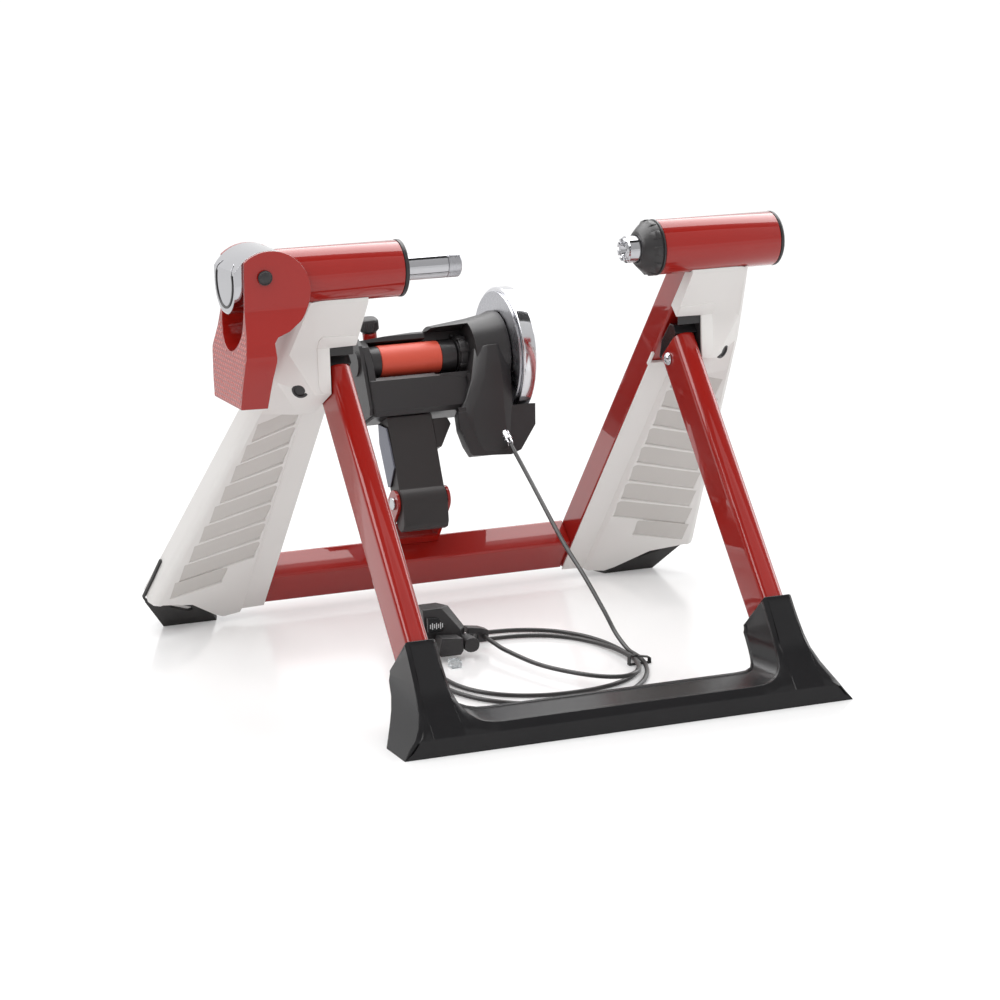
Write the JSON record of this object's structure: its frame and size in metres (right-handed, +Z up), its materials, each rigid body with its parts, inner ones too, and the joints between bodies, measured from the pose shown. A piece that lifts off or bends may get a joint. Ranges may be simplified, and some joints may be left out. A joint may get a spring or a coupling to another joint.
{
  "type": "magnetic bike trainer",
  "caption": "Folding stand that clamps a bicycle's rear axle and holds its tyre on a magnetic resistance roller with a flywheel, set from a cable remote.",
  "frame": {"origin": "centre of the stand's footprint box, on the floor, without the cable", "axes": "X along the wheel's axle, from the clamp lever to the flywheel side; +Y to the rear, away from the cross foot and towards the roller; +Z up"},
  "size_m": [0.584, 0.6035, 0.4095],
  "materials": {
    "frame_red": "glossy candy red powder coat",
    "cover_white": "off-white semi-gloss moulding",
    "moulded_black": "satin charcoal moulding",
    "painted_black": "satin black paint",
    "gloss_black": "glossy black moulding",
    "rubber_black": "dull dark rubber",
    "chrome": "polished chrome plate",
    "steel": "machined steel",
    "roller_orange": "orange-red elastomer sleeve",
    "plate_blue_grey": "blue-grey plated sheet",
    "clear_plastic": "clear plastic, drawn opaque"
  },
  "bodies": {
    "rear_frame": {"adjuster_bush": "steel", "barrel_cap_right": "moulded_black", "barrel_left": "frame_red", "barrel_right": "frame_red", "barrel_ring_left": "moulded_black", "cable_coil": "rubber_black", "cable_run": "rubber_black", "cable_tail": "rubber_black", "cable_tie": "rubber_black", "cover_plug_left": "moulded_black", "cover_plug_right": "moulded_black", "crossbar": "frame_red", "fold_bracket_left": "frame_red", "fold_bracket_right": "frame_red", "leg_cover_left": "cover_white", "leg_cover_right": "cover_white", "rear_foot_left": "rubber_black", "rear_foot_right": "rubber_black", "rear_leg_left": "frame_red", "rear_leg_right": "frame_red", "remote_body": "moulded_black", "remote_clamp": "moulded_black", "remote_pad": "clear_plastic", "remote_stop": "moulded_black", "remote_window": "gloss_black", "shaft_bush_left": "steel", "unit_bracket": "frame_red", "unit_pivot_pin": "chrome"},
    "front_frame": {"front_tube_left": "frame_red", "front_tube_right": "frame_red", "tube_cap_left": "gloss_black", "tube_cap_right": "gloss_black", "fold_bolt_left": "chrome", "fold_bolt_right": "chrome", "front_foot": "gloss_black"},
    "clamp_slide": {"clamp_shaft": "chrome", "clamp_cup_left": "steel", "clamp_end_block": "chrome", "lever_pin": "painted_black"},
    "clamp_lever": {"clamp_lever": "frame_red"},
    "adjuster_ring": {"adjuster_ring": "moulded_black"},
    "adjuster_cup": {"adjuster_cup": "chrome"},
    "resistance_unit": {"unit_arm": "painted_black", "side_plate": "plate_blue_grey", "unit_housing": "moulded_black", "cheek_plate": "moulded_black", "magnet_box": "moulded_black", "cable_ferrule": "chrome", "bearing_left": "steel", "bearing_right": "steel", "tension_collar": "frame_red"},
    "rotor": {"roller_core": "moulded_black", "roller_sleeve": "roller_orange", "roller_shaft": "steel", "flywheel": "chrome", "conductive_disc": "steel"},
    "tension_knob": {"tension_knob": "moulded_black"},
    "magnet_carrier": {"magnet_carrier": "steel"},
    "remote_lever": {"remote_lever": "moulded_black"}
  },
  "joints": [
    {"name": "front_fold", "type": "hinge", "parent": "rear_frame", "child": "front_frame", "pos_m": [0, -0.0397, 0.2685], "axis": [1, 0, 0], "range_deg": [0, 76]},
    {"name": "clamp_slide", "type": "slide", "parent": "rear_frame", "child": "clamp_slide", "axis": [1, 0, 0], "range_m": [-0.012, 0]},
    {"name": "clamp_lever", "type": "hinge", "parent": "clamp_slide", "child": "clamp_lever", "pos_m": [-0.259, -0.0827, 0.387], "axis": [0, 1, 0], "range_deg": [0, 120]},
    {"name": "adjuster_ring", "type": "hinge", "parent": "rear_frame", "child": "adjuster_ring", "pos_m": [0.1165, -0.0827, 0.3811], "axis": [1, 0, 0], "range_deg": [-360, 360]},
    {"name": "adjuster_cup", "type": "slide", "parent": "rear_frame", "child": "adjuster_cup", "axis": [1, 0, 0], "range_m": [-0.003, 0.003]},
    {"name": "unit_pivot", "type": "hinge", "parent": "rear_frame", "child": "resistance_unit", "pos_m": [0, 0.1803, 0.1058], "axis": [1, 0, 0], "range_deg": [-8, 0]},
    {"name": "rotor", "type": "hinge", "parent": "resistance_unit", "child": "rotor", "pos_m": [0, 0.23728, 0.23685], "axis": [1, 0, 0], "continuous": true},
    {"name": "tension_knob", "type": "hinge", "parent": "resistance_unit", "child": "tension_knob", "pos_m": [-0.0275, 0.25319, 0.25839], "axis": [-0.0998, -0.0577, 0.9933], "range_deg": [-360, 360]},
    {"name": "remote_lever", "type": "hinge", "parent": "rear_frame", "child": "remote_lever", "pos_m": [-0.06, -0.0227, 0.015], "axis": [0, 1, 0], "range_deg": [-25, 0]},
    {"name": "magnet_carrier", "type": "slide", "parent": "resistance_unit", "child": "magnet_carrier", "axis": [1, 0, 0], "range_m": [-0.008, 0]}
  ],
  "couplings": [
    {"joint": "clamp_slide", "follows": "clamp_lever", "m_per_rad": -0.0057},
    {"joint": "adjuster_ring", "follows": "adjuster_cup", "rad_per_m": 2094},
    {"joint": "remote_lever", "follows": "magnet_carrier", "rad_per_m": 54.5}
  ]
}
